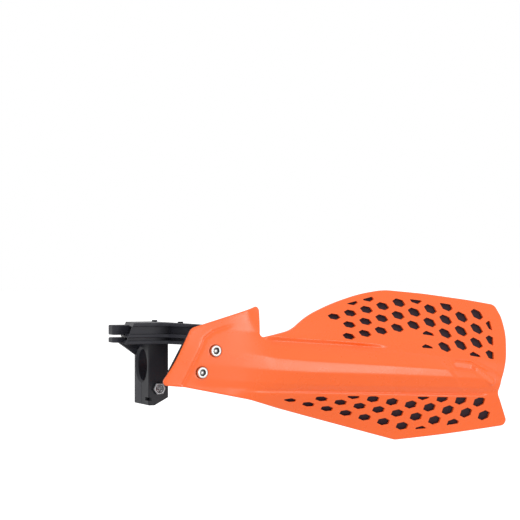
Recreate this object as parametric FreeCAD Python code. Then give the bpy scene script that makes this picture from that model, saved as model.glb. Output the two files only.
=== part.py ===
import FreeCAD, Part
import math
import os
from FreeCAD import Vector

os.makedirs("parts", exist_ok=True)

# Lengths are in millimetres, angles in degrees.
# Origin: middle of the bar clamp's bore. X runs outboard along the bar, -Y forward, Z up.

# Bar clamp
BAR_DIAMETER = 28.6
CLAMP_WIDTH = 19.0
CLAMP_WALL = 5.7
CLAMP_SPLIT = 0.6
CLAMP_EDGE_ROUND = 1.2
CLAMP_RIM_ROUND = 1.0
CLAMP_FOOT = 15.2
CLAMP_HEAD = 6.7
FOOT_CHAMFER_RUN = 13.0
FOOT_CHAMFER_RISE = 7.0
BORE_CHAMFER = 2.0
CAP_CLEARANCE = 0.5
PRY_NOTCH_WIDTH = 3.2
PRY_NOTCH_HEIGHT = 3.0
PRY_NOTCH_RISE = 4.2
PRY_NOTCH_FROM = 11.0

# Fasteners: one six-millimetre thread throughout
THREAD_DIAMETER = 6.0
THREAD_CLEARANCE = 0.6
THREAD_FIT = 0.1
HEX_ACROSS_FLATS = 10.0
HEX_HEAD_HEIGHT = 4.2
HEX_HEAD_DISH = 0.7
NUT_HEIGHT = 5.0
POCKET_FIT = 0.3
BOLT_BORE_WALL = 3.0
UPPER_BOLT_RAISE = 5.4
BOLT_TURN = 35.0
HEAD_ROOM = 0.6
WRENCH_ROOM = 15.0
SOCKET_HEAD_DIAMETER = 10.0
SOCKET_HEAD_HEIGHT = 3.0
SOCKET_HEAD_ROUND = 0.6
SOCKET_ACROSS_FLATS = 5.0
SOCKET_DEPTH = 1.9
COUNTERBORE_CLEARANCE = 1.2
COUNTERBORE_DEPTH = 1.0
THREAD_END = 0.8

# Mounting arm: a body of three flanges on a core, with two fingers out of its inboard end
ARM_ABOVE_BORE = 5.5
ARM_HEIGHT = 19.0
ARM_TOP_FALL = 0.06
ARM_TOP_FALL_FROM = 6.0
FLANGE_THICKNESS = 3.2
FLANGE_EDGE_ROUND = 0.8
FLANGE_HALF_WIDTH = 15.0
FLANGE_FRONT = 29.0
WEB_RECESS = 2.2
WEB_THICKNESS = 2.0
WEB_END_X = 14.0
MIDDLE_FLANGE_HEIGHT = 5.8
CORE_THICKNESS = 20.0
FINGER_END_X = -39.0
FINGER_ROUND = 4.5
FINGER_HALF_WIDTH = 9.0
UPPER_FINGER = (7.8, 16.6)
LOWER_FINGER = (0.8, 5.4)
BODY_END_BOTTOM_X = -34.0
BODY_END_TOP_X = -26.0
BODY_END_TURN = 9.0
TOP_BOSSES = ((6.0, -8.0), (21.0, 20.0))
TOP_BOSS_DIAMETER = 5.0
TOP_BOSS_HEIGHT = 1.4
GUSSET_THICKNESS = 5.0
GUSSET_REACH = 19.0
GUSSET_DROP = 13.0
GUSSET_BAR_ROOM = 3.0

# Pad between the arm and the shield
PAD_THICKNESS = 5.0
PAD_GAP = 0.3
BOSS_DIAMETER = 16.0
BOSS_EXTRA = 0.6
PAD_LOW_CORNER = (-31.5, -3.5)
PAD_HIGH_CORNER = (-21.6, 19.4)

# Shield wall and its flat inboard plate
WALL = 2.8
SHEET_REACH = 70.0
SHEET_MARGIN = 8.0
PLATE_FORWARD = 62.0
PLATE_TURN = 8.0
PLATE_END_X = 46.0
UPPER_SCREW = (37.0, 14.6)
LOWER_SCREW = (24.9, -4.5)

# Shield section: ridge between two creases, a wing on each side
SWEEP_START_X = 55.0
SWEEP_RATE = 0.00033
UPPER_CREASE = (94.0, 28.0, -0.13)
LOWER_CREASE = (73.0, -23.0, -0.0365)
RIDGE_RELIEF = 9.0
RIDGE_RISE_LENGTH = 100.0
RIDGE_END_X = 319.0
RIDGE_END_BACK = 36.0
RIDGE_END_LENGTH = 26.0
FACET_BREAKS = (0.06, 0.16, 0.385, 0.605, 1.0)
FACET_SLOPES = (5.05, 2.2, 0.0, -2.53)
FACET_ROUND = 0.05
BAND_DRIFT_NEAR = (95.0, 0.00075)
BAND_DRIFT_FAR = (125.0, 0.0006)
GROOVE_DEPTH = 1.6
GROOVE_HALF_WIDTH = 3.2
CREASE_ROUND = 4.0
WING_LEAN_FROM_X = 80.0
WING_LEAN_LENGTH = 230.0
UPPER_LEAN = (36.0, 14.0)
LOWER_LEAN = (38.0, 16.0)
UPPER_WING_START = (64.0, 36.0)
LOWER_WING_START = (45.0, 60.0)

# Shield outline seen from the front: corner x, corner z, corner radius
SHIELD_OUTLINE = [
    (-12.0, -15.3, 3.5),
    (1.5, 5.0, 120.0),
    (15.5, 34.8, 7.0),
    (80.8, 55.0, 4.0),
    (78.2, 25.4, 3.5),
    (110.0, 31.8, 40.0),
    (131.0, 44.8, 120.0),
    (158.0, 55.6, 260.0),
    (186.0, 63.9, 200.0),
    (209.5, 67.5, 60.0),
    (246.6, 63.9, 300.0),
    (291.7, 57.7, 200.0),
    (320.3, 52.9, 8.0),
    (326.4, 41.5, 25.0),
    (329.3, 25.0, 60.0),
    (326.8, 4.5, 80.0),
    (322.8, -11.0, 60.0),
    (316.0, -28.5, 10.0),
    (331.7, -60.0, 5.0),
    (262.3, -67.3, 300.0),
    (218.8, -71.3, 9.0),
    (99.0, -38.2, 200.0),
    (70.0, -29.6, 100.0),
    (10.0, -17.3, 20.0),
]

# Vents: a slightly fanned lattice in each wing, given by its origin, two steps and the fan of the steps
UPPER_LATTICE = ((216.3, 32.6), (16.74, 2.30), (-2.89, -11.42), (0.16, -0.36))
LOWER_LATTICE = ((216.0, -45.7), (18.99, -3.78), (-11.77, -7.83), (-0.15, -0.72))
# Vent shape: share of its lattice cell, height at each end of the height span, lean at full height
UPPER_VENT = (0.62, 3.8, 10.6, -0.22)
LOWER_VENT = (0.59, 3.4, 9.8, 0.18)
VENT_HEIGHT_SPAN = (105.0, 285.0)
VENT_LEAST_SHARE = 0.16
UPPER_FIELD = [
    (146.0, 44.0), (172.0, 55.2), (198.0, 61.4), (216.0, 60.8), (262.0, 55.3), (300.0, 49.2), (311.5, 46.5),
    (315.0, 27.0), (312.5, 2.2), (258.0, 10.8), (251.0, 13.2), (234.0, 14.6), (234.0, 20.0), (254.0, 20.6),
    (255.0, 24.4), (234.0, 27.4), (158.0, 20.3), (160.3, 38.3), (147.0, 39.0),
]
LOWER_FIELD = [
    (98.0, -31.0), (118.0, -28.6), (164.0, -28.4), (236.0, -30.7), (306.0, -33.4), (312.0, -52.0), (308.0, -55.4),
    (290.0, -55.8), (246.0, -61.0), (217.0, -62.8), (211.0, -62.6), (120.0, -37.0),
]

# Liner panels behind the vents: corner x, corner z, corner radius
LINER_THICKNESS = 1.0
LINER_GAP = 0.25
UPPER_LINER_OUTLINE = [
    (142.0, 35.0, 4.0), (143.0, 45.3, 3.0), (172.0, 56.2, 20.0), (198.0, 63.2, 8.0), (216.0, 63.2, 8.0),
    (262.0, 58.2, 30.0), (314.0, 49.0, 5.0), (318.5, 26.0, 30.0), (315.0, -1.0, 4.0), (258.0, 8.2, 8.0),
    (229.0, 13.0, 5.0), (226.0, 24.5, 6.0), (156.0, 16.5, 5.0),
]
LOWER_LINER_OUTLINE = [
    (95.0, -28.2, 2.0), (118.0, -25.6, 10.0), (164.0, -25.4, 30.0), (236.0, -27.6, 30.0), (308.0, -30.2, 4.0),
    (315.0, -52.0, 5.0), (310.0, -57.8, 5.0), (246.0, -64.0, 30.0), (212.0, -66.0, 8.0), (118.0, -39.8, 20.0),
]

# Values that follow from the ones above
bar_radius = BAR_DIAMETER / 2
clamp_depth = bar_radius + CLAMP_WALL
bolt_hole_radius = (THREAD_DIAMETER + THREAD_CLEARANCE) / 2
bolt_height = bar_radius + bolt_hole_radius + BOLT_BORE_WALL
upper_bolt_height = bolt_height + UPPER_BOLT_RAISE
clamp_top = upper_bolt_height + CLAMP_HEAD
clamp_bottom = -bolt_height - CLAMP_FOOT
arm_bottom = bar_radius + ARM_ABOVE_BORE
arm_top = arm_bottom + ARM_HEIGHT
plate_slope = math.tan(math.radians(PLATE_TURN))
pad_front = WALL + PAD_GAP
pad_back = pad_front + PAD_THICKNESS
boss_back = pad_back + NUT_HEIGHT + BOSS_EXTRA
SCREWS = (("upper", UPPER_SCREW), ("lower", LOWER_SCREW))
BOLTS = (("upper", upper_bolt_height), ("lower", -bolt_height))


def smoothstep(value):
    """Ease from 0 to 1 while value goes from 0 to 1."""
    held = min(max(value, 0.0), 1.0)
    return held * held * (3.0 - 2.0 * held)


def ramp(value, rounding):
    """Zero below zero, value above it, with a rounded corner between."""
    return 0.5 * (value + math.sqrt(value * value + rounding * rounding))


def crease_height(crease, x):
    """Height of a straight crease line at x."""
    return crease[1] + crease[2] * (x - crease[0])


def plate_line(x):
    """Forward distance of the flat plate's outer face at x."""
    return PLATE_FORWARD + plate_slope * x


def band_drift(x):
    """Shift of the ridge's top band toward the upper crease, growing toward both ends."""
    near = BAND_DRIFT_NEAR[1] * max(0.0, BAND_DRIFT_NEAR[0] - x)
    return near + BAND_DRIFT_FAR[1] * max(0.0, x - BAND_DRIFT_FAR[0])


def ridge_share(x, z):
    """Place across the ridge: 0 at the lower crease, 1 at the upper one, bent by the band's drift."""
    lower = crease_height(LOWER_CREASE, x)
    share = (z - lower) / (crease_height(UPPER_CREASE, x) - lower)
    held = min(max(share, 0.0), 1.0)
    return share - 4.0 * band_drift(x) * held * (1.0 - held)


def facet_height(share):
    """Ridge height from 0 to 1 across the section: straight facets with rounded edges."""
    height = 0.0
    for index, slope in enumerate(FACET_SLOPES):
        start = ramp(share - FACET_BREAKS[index], FACET_ROUND)
        stop = ramp(share - FACET_BREAKS[index + 1], FACET_ROUND)
        height += slope * (start - stop)
    return height


def wing_slope(lean, x):
    """Lean of a wing, steep inboard and flatter outboard, as a slope."""
    share = smoothstep((x - WING_LEAN_FROM_X) / WING_LEAN_LENGTH)
    return math.tan(math.radians(lean[0] + (lean[1] - lean[0]) * share))


def shield_forward(x, z):
    """Forward distance of the shield's outer face."""
    upper = crease_height(UPPER_CREASE, x)
    lower = crease_height(LOWER_CREASE, x)
    ridge_on = smoothstep((x - PLATE_END_X) / RIDGE_RISE_LENGTH)
    share = ridge_share(x, z)
    end_middle = RIDGE_END_X - RIDGE_END_BACK * min(max(share, 0.0), 1.0) ** 2
    ridge_left = 1.0 - smoothstep((x - end_middle) / RIDGE_END_LENGTH + 0.5)
    facets = 1.0 - ridge_on * (1.0 - facet_height(share))
    groove = GROOVE_DEPTH / (1.0 + ((z - upper) / GROOVE_HALF_WIDTH) ** 2) ** 2
    upper_share = smoothstep((x - UPPER_WING_START[0]) / UPPER_WING_START[1])
    lower_share = smoothstep((x - LOWER_WING_START[0]) / LOWER_WING_START[1])
    forward = plate_line(x) - SWEEP_RATE * max(0.0, x - SWEEP_START_X) ** 2 - RIDGE_RELIEF
    forward += ridge_left * (RIDGE_RELIEF * facets - ridge_on * groove)
    forward -= upper_share * wing_slope(UPPER_LEAN, x) * ramp(z - upper, CREASE_ROUND)
    forward -= lower_share * wing_slope(LOWER_LEAN, x) * ramp(lower - z, CREASE_ROUND)
    return forward


def offset_point(x, z, back):
    """Point lying back behind the shield's outer face, along the face's normal."""
    step = 0.05
    along = (shield_forward(x + step, z) - shield_forward(x - step, z)) / (2 * step)
    across = (shield_forward(x, z + step) - shield_forward(x, z - step)) / (2 * step)
    rearward = Vector(along, 1.0, across)
    rearward.normalize()
    return Vector(x, -shield_forward(x, z), z) + rearward * back


def grid_columns():
    """X positions of the surface grid."""
    first = min(corner[0] for corner in SHIELD_OUTLINE) - SHEET_MARGIN
    last = max(corner[0] for corner in SHIELD_OUTLINE) + SHEET_MARGIN
    count = 46
    return [first + (last - first) * index / (count - 1) for index in range(count)]


def grid_rows(x):
    """Heights of the surface grid at x: closer together beside the creases and the facet edges."""
    upper = crease_height(UPPER_CREASE, x)
    lower = crease_height(LOWER_CREASE, x)
    below = [lower - drop for drop in (56.0, 44.0, 32.0, 22.0, 14.0, 8.0, 4.0)]
    shares = (0.0, 0.06, 0.11, 0.16, 0.23, 0.31, 0.385, 0.46, 0.535, 0.605, 0.69, 0.79, 0.88, 0.95)
    bent = [share + 4.0 * band_drift(x) * share * (1.0 - share) for share in shares]
    between = [lower + share * (upper - lower) for share in bent]
    above = [upper + rise for rise in (0.0, 2.5, 5.0, 9.0, 15.0, 23.0, 33.0, 45.0, 58.0, 72.0)]
    return below + between + above


def offset_face(back):
    """Smooth face lying back behind the shield's outer face."""
    grid = []
    for x in grid_columns():
        grid.append([offset_point(x, z, back) for z in grid_rows(x)])
    surface = Part.BSplineSurface()
    surface.interpolate(grid)
    return surface.toShape()


def sheet(front_back, rear_back):
    """Solid between two faces that follow the shield's form."""
    front = offset_face(front_back)
    rear = offset_face(rear_back)
    sides = []
    for front_edge, rear_edge in zip(front.Edges, rear.Edges):
        sides.append(Part.makeRuledSurface(front_edge, rear_edge))
    shell = Part.makeShell([front, rear] + sides)
    shell.sewShape()
    solid = Part.makeSolid(shell)
    if solid.Volume < 0:
        solid.reverse()
    return solid


def rounded_wire(corners):
    """Closed wire through corners (u, v, radius) in the XY plane, each corner rounded by an arc."""
    count = len(corners)
    cuts = []
    for index, (u, v, radius) in enumerate(corners):
        here = Vector(u, v, 0)
        before = Vector(corners[index - 1][0], corners[index - 1][1], 0) - here
        after = Vector(corners[(index + 1) % count][0], corners[(index + 1) % count][1], 0) - here
        before.normalize()
        after.normalize()
        half_angle = before.getAngle(after) / 2
        reach = radius / math.tan(half_angle)
        middle = before + after
        middle.normalize()
        bulge = radius / math.sin(half_angle) - radius
        cuts.append((here + before * reach, here + middle * bulge, here + after * reach, radius))
    edges = []
    for index, (start, middle, end, radius) in enumerate(cuts):
        if radius > 0:
            edges.append(Part.Arc(start, middle, end).toShape())
        following = cuts[(index + 1) % count][0]
        if (following - end).Length > 1e-6:
            edges.append(Part.LineSegment(end, following).toShape())
    return Part.Wire(edges)


def front_face(corners):
    """Face with the given (x, z, radius) corners, standing in the XZ plane."""
    face = Part.Face(rounded_wire(corners))
    face.rotate(Vector(0, 0, 0), Vector(1, 0, 0), 90)
    return face


def front_prism(face, front, rear):
    """Extrusion of a face of the XZ plane between two forward distances."""
    placed = face.copy()
    placed.translate(Vector(0, -front, 0))
    return placed.extrude(Vector(0, front - rear, 0))


def rim_rounded(solid, axis, level, radius):
    """Round every edge of a prism's end face, found by its level along an axis."""
    rim = []
    for edge in solid.Edges:
        ends = [vertex.Point[axis] for vertex in edge.Vertexes]
        if max(abs(end - level) for end in ends) < 1e-4:
            rim.append(edge)
    return solid.makeFillet(radius, rim)


def plan_prism(corners, bottom, top):
    """Extrusion of a plan outline of (x, forward, radius) corners between two heights."""
    mirrored = [(x, -forward, radius) for x, forward, radius in corners]
    face = Part.Face(rounded_wire(mirrored))
    face.translate(Vector(0, 0, bottom))
    return face.extrude(Vector(0, 0, top - bottom))


def block(x_from, x_to, front, rear, bottom, top):
    """Box between two x positions, two forward distances and two heights."""
    return Part.makeBox(x_to - x_from, front - rear, top - bottom, Vector(x_from, -front, bottom))


def rod(radius, front, rear, x, z):
    """Cylinder along Y between two forward distances."""
    return Part.makeCylinder(radius, front - rear, Vector(x, -front, z), Vector(0, 1, 0))


def hexagon_rod(across_flats, front, rear, x, z):
    """Hexagonal bar along Y between two forward distances, flats up and down."""
    corner = across_flats / math.sqrt(3)
    points = []
    for index in range(7):
        turn = math.radians(60 * index)
        points.append(Vector(x + corner * math.cos(turn), -front, z + corner * math.sin(turn)))
    return Part.Face(Part.makePolygon(points)).extrude(Vector(0, front - rear, 0))


def onto_plate(shape):
    """Move a shape drawn with Y as the depth behind the plate's outer face onto the plate."""
    placed = shape.copy()
    placed.rotate(Vector(0, 0, 0), Vector(0, 0, 1), -PLATE_TURN)
    placed.translate(Vector(0, -PLATE_FORWARD, 0))
    return placed


def plate_x(x):
    """Distance along the turned plate that reaches x."""
    return x / math.cos(math.radians(PLATE_TURN))


def vent_face(lattice, shape, column, row):
    """Six-sided vent face of one lattice place, lower and more upright toward the inboard end."""
    origin, step_a, step_b, fan = lattice
    fill, least_height, full_height, lean = shape
    x = origin[0] + column * step_a[0] + row * step_b[0] + column * row * fan[0]
    z = origin[1] + column * step_a[1] + row * step_b[1] + column * row * fan[1]
    a = (step_a[0] + row * fan[0], step_a[1] + row * fan[1])
    b = (step_b[0] + column * fan[0], step_b[1] + column * fan[1])
    thirds = ((2, 1), (1, 2), (-1, 1), (-2, -1), (-1, -2), (1, -1))
    offsets = []
    for along, across in thirds:
        u = fill * (along * a[0] + across * b[0]) / 3
        v = fill * (along * a[1] + across * b[1]) / 3
        offsets.append((u, v))
    first, last = VENT_HEIGHT_SPAN
    share = min(max((x - first) / (last - first), 0.0), 1.0)
    height = least_height + share * (full_height - least_height)
    squash = height / (2 * max(v for u, v in offsets))
    leaning = [(u, squash * v + lean * (height / full_height) ** 2 * u) for u, v in offsets]
    squash = height / (2 * max(v for u, v in leaning))
    points = [Vector(x + u, 0, z + squash * v) for u, v in leaning]
    return Part.Face(Part.makePolygon(points + points[:1]))


def field_vents(lattice, shape, field):
    """Vent faces of one wing, cut off at the field's border; scraps are left out."""
    border = Part.Face(Part.makePolygon([Vector(x, 0, z) for x, z in field + field[:1]]))
    vents = []
    for column in range(-7, 8):
        for row in range(-4, 5):
            vent = vent_face(lattice, shape, column, row)
            for face in vent.common(border).Faces:
                if face.Area > VENT_LEAST_SHARE * vent.Area:
                    vents.append(face)
    return vents


def through_sheet(face):
    """Extrusion of a face of the XZ plane that passes right through the shield's sheet."""
    return front_prism(face, PLATE_FORWARD + SHEET_REACH, PLATE_FORWARD - SHEET_REACH)


def make_shield():
    """Orange panel with its vents, screw holes and counterbores."""
    face = front_face(SHIELD_OUTLINE)
    vents = field_vents(UPPER_LATTICE, UPPER_VENT, UPPER_FIELD) + field_vents(LOWER_LATTICE, LOWER_VENT, LOWER_FIELD)
    pierced = face.cut(Part.makeCompound(vents))
    panel = sheet(0.0, WALL).common(through_sheet(pierced))
    sink_radius = (SOCKET_HEAD_DIAMETER + COUNTERBORE_CLEARANCE) / 2
    for name, (x, z) in SCREWS:
        sink = rod(sink_radius, 10.0, -COUNTERBORE_DEPTH, plate_x(x), z)
        hole = rod(bolt_hole_radius, 10.0, -2 * WALL, plate_x(x), z)
        panel = panel.cut(onto_plate(sink.fuse(hole)))
    return panel.Solids[0]


def make_liner(outline):
    """Thin panel that closes the vents from behind."""
    near = WALL + LINER_GAP
    return sheet(near, near + LINER_THICKNESS).common(through_sheet(front_face(outline))).Solids[0]


def clamp_profile():
    """Clamp body seen from the front, with its chamfered lower outboard corner."""
    side = CLAMP_WIDTH / 2
    return front_face([
        (-side, clamp_bottom, CLAMP_EDGE_ROUND),
        (side - FOOT_CHAMFER_RUN, clamp_bottom, CLAMP_EDGE_ROUND),
        (side, clamp_bottom + FOOT_CHAMFER_RISE, CLAMP_EDGE_ROUND),
        (side, clamp_top, CLAMP_EDGE_ROUND),
        (-side, clamp_top, CLAMP_EDGE_ROUND),
    ])


def bar_bore():
    """Bar bore along X with a chamfer at each end."""
    side = CLAMP_WIDTH / 2
    along = Vector(1, 0, 0)
    bore = Part.makeCylinder(bar_radius, 2 * CLAMP_WIDTH, Vector(-CLAMP_WIDTH, 0, 0), along)
    wide = bar_radius + BORE_CHAMFER
    inboard = Part.makeCone(wide, bar_radius, BORE_CHAMFER, Vector(-side, 0, 0), along)
    outboard = Part.makeCone(bar_radius, wide, BORE_CHAMFER, Vector(side - BORE_CHAMFER, 0, 0), along)
    return bore.fuse([inboard, outboard])


def make_cap():
    """Front half of the bar clamp."""
    cap = front_prism(clamp_profile(), clamp_depth, CLAMP_SPLIT / 2)
    cap = rim_rounded(cap, 1, -clamp_depth, CLAMP_RIM_ROUND).cut(bar_bore())
    for name, height in BOLTS:
        cap = cap.cut(rod(bolt_hole_radius, clamp_depth + 1, -1, 0, height))
    side = -CLAMP_WIDTH / 2
    notch_z = clamp_bottom + PRY_NOTCH_RISE
    notch = block(side - 1, side + PRY_NOTCH_WIDTH, clamp_depth + 1, PRY_NOTCH_FROM, notch_z, notch_z + PRY_NOTCH_HEIGHT)
    return cap.cut(notch).Solids[0]


def pad_line(x):
    """Forward distance of the middle of the pad's thickness at x."""
    return plate_line(x) - (pad_front + PAD_THICKNESS / 2) / math.cos(math.radians(PLATE_TURN))


def flange_corners():
    """Plan of a flange: clamp stretch and the bend forward to the pad."""
    inner = UPPER_SCREW[0] - 24.0
    outer = UPPER_SCREW[0] + 9.0
    start = BODY_END_BOTTOM_X - FLANGE_THICKNESS
    return [
        (start, FLANGE_FRONT, 0.0),
        (inner - 11.0, FLANGE_FRONT, 12.0),
        (inner, pad_line(inner), 0.0),
        (outer, pad_line(outer), 0.0),
        (outer - 11.0, FLANGE_HALF_WIDTH, 24.0),
        (FLANGE_HALF_WIDTH, -FLANGE_HALF_WIDTH, 14.0),
        (start, -FLANGE_HALF_WIDTH, 0.0),
    ]


def core_corners():
    """Plan of the core: an even strip along the clamp and forward to the pad."""
    half = CORE_THICKNESS / 2
    start = BODY_END_BOTTOM_X - FLANGE_THICKNESS
    end = UPPER_SCREW[0] - 7.0
    bend = 8.0
    lean = (end - bend) / pad_line(end)
    side = half * math.sqrt(1 + lean * lean)
    return [
        (start, half, 0.0),
        (bend + lean * half - side, half, 8.0),
        (end - side, pad_line(end - side), 0.0),
        (end + side, pad_line(end + side), 0.0),
        (bend - lean * half + side, -half, 8.0 + half),
        (start, -half, 0.0),
    ]


def make_flange(bottom):
    """Flange plate with rounded edges."""
    top = bottom + FLANGE_THICKNESS
    flange = plan_prism(flange_corners(), bottom, top)
    flange = rim_rounded(flange, 2, bottom, FLANGE_EDGE_ROUND)
    return rim_rounded(flange, 2, top, FLANGE_EDGE_ROUND)


def make_finger(bottom, top):
    """Round-nosed finger that stands out of the body's inboard end."""
    corners = [
        (FINGER_END_X, FINGER_HALF_WIDTH, FINGER_ROUND),
        (-CLAMP_WIDTH, FINGER_HALF_WIDTH, 0.0),
        (-CLAMP_WIDTH, -FINGER_HALF_WIDTH, 0.0),
        (FINGER_END_X, -FINGER_HALF_WIDTH, FINGER_ROUND),
    ]
    finger = plan_prism(corners, bottom, top)
    finger = rim_rounded(finger, 2, bottom, FLANGE_EDGE_ROUND)
    return rim_rounded(finger, 2, top, FLANGE_EDGE_ROUND)


def make_web():
    """Wall between the flanges, set back from their front edges, that covers the upper bolt."""
    front = FLANGE_FRONT - WEB_RECESS
    start = BODY_END_BOTTOM_X - FLANGE_THICKNESS
    return block(start, WEB_END_X, front, front - WEB_THICKNESS, arm_bottom + 1, arm_top - 1)


def arm_top_at(x):
    """Height of the arm's top, which falls a little toward the pad."""
    return arm_top - ARM_TOP_FALL * max(0.0, x - ARM_TOP_FALL_FROM)


def top_off_cut():
    """Wedge above the falling top of the arm."""
    far = 2 * UPPER_SCREW[0]
    wedge = front_face([
        (ARM_TOP_FALL_FROM, arm_top, 0.0),
        (far, arm_top_at(far), 0.0),
        (far, arm_top + 1, 0.0),
    ])
    return front_prism(wedge, 2 * PLATE_FORWARD, -PLATE_FORWARD)


def make_body():
    """Flanges, web and core, cut off slantwise at the inboard end."""
    heights = (arm_bottom, arm_bottom + MIDDLE_FLANGE_HEIGHT, arm_top - FLANGE_THICKNESS)
    core = plan_prism(core_corners(), arm_bottom + 1, arm_top - 1)
    body = core.fuse([make_flange(height) for height in heights] + [make_web()])
    off_cut = front_face([
        (FINGER_END_X - ARM_HEIGHT, arm_bottom - 1, 0.0),
        (BODY_END_BOTTOM_X, arm_bottom - 1, 0.0),
        (BODY_END_TOP_X, arm_top + 1, 0.0),
        (FINGER_END_X - ARM_HEIGHT, arm_top + 1, 0.0),
    ])
    cutter = front_prism(off_cut, 2 * FLANGE_FRONT, -2 * FLANGE_FRONT)
    cutter.rotate(Vector(BODY_END_BOTTOM_X, -FLANGE_FRONT, 0), Vector(0, 0, 1), -BODY_END_TURN)
    return body.cut(cutter)


def make_top_boss(x, forward):
    """Low round boss on the upper flange."""
    return Part.makeCylinder(TOP_BOSS_DIAMETER / 2, TOP_BOSS_HEIGHT + 1, Vector(x, -forward, arm_top_at(x) - 1))


def make_pad():
    """Pad behind the shield's plate with a boss behind each screw."""
    (high_x, high_z), (low_x, low_z) = UPPER_SCREW, LOWER_SCREW
    corners = [
        (low_x + PAD_LOW_CORNER[0], low_z + PAD_LOW_CORNER[1], 4.0),
        (high_x + PAD_HIGH_CORNER[0], high_z + PAD_HIGH_CORNER[1], 3.0),
        (high_x - 13.0, arm_top, 2.0),
        (high_x + 8.0, arm_top, 6.0),
        (high_x + 9.5, high_z - 4.0, 10.0),
        (low_x + 11.0, low_z - 9.5, 8.0),
        (low_x - 14.0, low_z - 10.0, 6.0),
    ]
    face = front_face([(plate_x(x), z, radius) for x, z, radius in corners])
    pad = front_prism(face, -pad_front, -pad_back)
    for name, (x, z) in SCREWS:
        pad = pad.fuse(rod(BOSS_DIAMETER / 2, -pad_front - 1, -boss_back, plate_x(x), z))
    return onto_plate(pad)


def make_gusset():
    """Triangular plate between the clamp's rear half and the arm's lower flange, hollowed around the bar."""
    side = -CLAMP_WIDTH / 2
    face = front_face([
        (side - GUSSET_REACH, arm_bottom + 1, 0.0),
        (side + 1, arm_bottom + 1, 0.0),
        (side + 1, arm_bottom - GUSSET_DROP, 0.0),
    ])
    gusset = front_prism(face, GUSSET_THICKNESS - FLANGE_HALF_WIDTH, -FLANGE_HALF_WIDTH)
    room = bar_radius + GUSSET_BAR_ROOM
    return gusset.cut(Part.makeCylinder(room, -2 * FINGER_END_X, Vector(FINGER_END_X, 0, 0), Vector(1, 0, 0)))


def arm_openings():
    """Everything that is taken out of the arm: cap seat, bore, bolt and screw holes, nut pockets."""
    side = CLAMP_WIDTH / 2 + CAP_CLEARANCE
    room = clamp_depth + HEX_HEAD_HEIGHT + HEAD_ROOM
    seat = block(-side, side, room, -CLAMP_SPLIT / 2, clamp_bottom - 1, clamp_top + CAP_CLEARANCE)
    openings = [seat, bar_bore()]
    pocket = HEX_ACROSS_FLATS + POCKET_FIT
    nut_front = NUT_HEIGHT + 1 - clamp_depth
    for name, height in BOLTS:
        openings.append(rod(bolt_hole_radius, 1, -clamp_depth - 1, 0, height))
    openings.append(rod(WRENCH_ROOM / 2, nut_front, -clamp_depth - 1, 0, upper_bolt_height))
    openings.append(hexagon_rod(pocket, nut_front, -clamp_depth - 1, 0, -bolt_height))
    for name, (x, z) in SCREWS:
        openings.append(onto_plate(rod(bolt_hole_radius, 0, -boss_back - 1, plate_x(x), z)))
        openings.append(onto_plate(hexagon_rod(pocket, -pad_back, -boss_back - 1, plate_x(x), z)))
    return openings


def make_arm():
    """Bracket: body, fingers, gusset, rear half of the clamp and pad in one piece."""
    pieces = [make_finger(arm_bottom + low, arm_bottom + high) for low, high in (UPPER_FINGER, LOWER_FINGER)]
    pieces += [make_top_boss(x, forward) for x, forward in TOP_BOSSES]
    rear = front_prism(clamp_profile(), -CLAMP_SPLIT / 2, -clamp_depth)
    pieces.append(rim_rounded(rear, 1, clamp_depth, CLAMP_RIM_ROUND))
    arm = make_body().fuse(make_pad()).cut(top_off_cut())
    arm = arm.fuse(pieces + [make_gusset()]).removeSplitter()
    arm = arm.cut(Part.makeCompound(arm_openings()))
    return max(arm.Solids, key=lambda solid: solid.Volume)


def make_clamp_bolt(height):
    """Hexagon-head bolt with a dished head and a cross slot, lying along Y."""
    front = clamp_depth + HEX_HEAD_HEIGHT
    head = hexagon_rod(HEX_ACROSS_FLATS, front, clamp_depth, 0, height)
    dome = rod(HEX_ACROSS_FLATS * 0.56, front, clamp_depth, 0, height)
    head = head.common(dome)
    head = head.cut(rod(HEX_ACROSS_FLATS * 0.36, front, front - HEX_HEAD_DISH, 0, height))
    slot = HEX_ACROSS_FLATS * 0.28
    for width, tall in ((slot, 0.7), (0.7, slot)):
        head = head.cut(block(-width, width, front, front - 3 * HEX_HEAD_DISH, height - tall, height + tall))
    shank = rod(THREAD_DIAMETER / 2, clamp_depth + 1, THREAD_END - clamp_depth, 0, height)
    bolt = head.fuse(shank).removeSplitter().Solids[0]
    bolt.rotate(Vector(0, 0, height), Vector(0, 1, 0), BOLT_TURN)
    return bolt


def make_nut(front):
    """Hexagon nut lying along Y with its front face at the given forward distance."""
    rear = front - NUT_HEIGHT
    blank = hexagon_rod(HEX_ACROSS_FLATS, front, rear, 0, 0)
    blank = blank.common(rod(HEX_ACROSS_FLATS * 0.56, front, rear, 0, 0))
    return blank.cut(rod((THREAD_DIAMETER + THREAD_FIT) / 2, front + 1, rear - 1, 0, 0))


def make_shield_screw():
    """Socket-head screw drawn with its axis on Y and the plate's outer face at zero depth."""
    seat = -COUNTERBORE_DEPTH
    top = seat + SOCKET_HEAD_HEIGHT
    head = rod(SOCKET_HEAD_DIAMETER / 2, top, seat, 0, 0)
    head = rim_rounded(head, 1, -top, SOCKET_HEAD_ROUND)
    head = head.cut(hexagon_rod(SOCKET_ACROSS_FLATS, top, top - SOCKET_DEPTH, 0, 0))
    shank = rod(THREAD_DIAMETER / 2, seat + 0.5, THREAD_END / 2 - boss_back, 0, 0)
    return head.fuse(shank).removeSplitter().Solids[0]


def shifted(shape, x, z):
    """Copy of a shape moved along X and Z."""
    moved = shape.copy()
    moved.translate(Vector(x, 0, z))
    return moved


def export(name, shape):
    """Write one piece to its own file."""
    shape.exportStep("parts/" + name + ".step")


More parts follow.
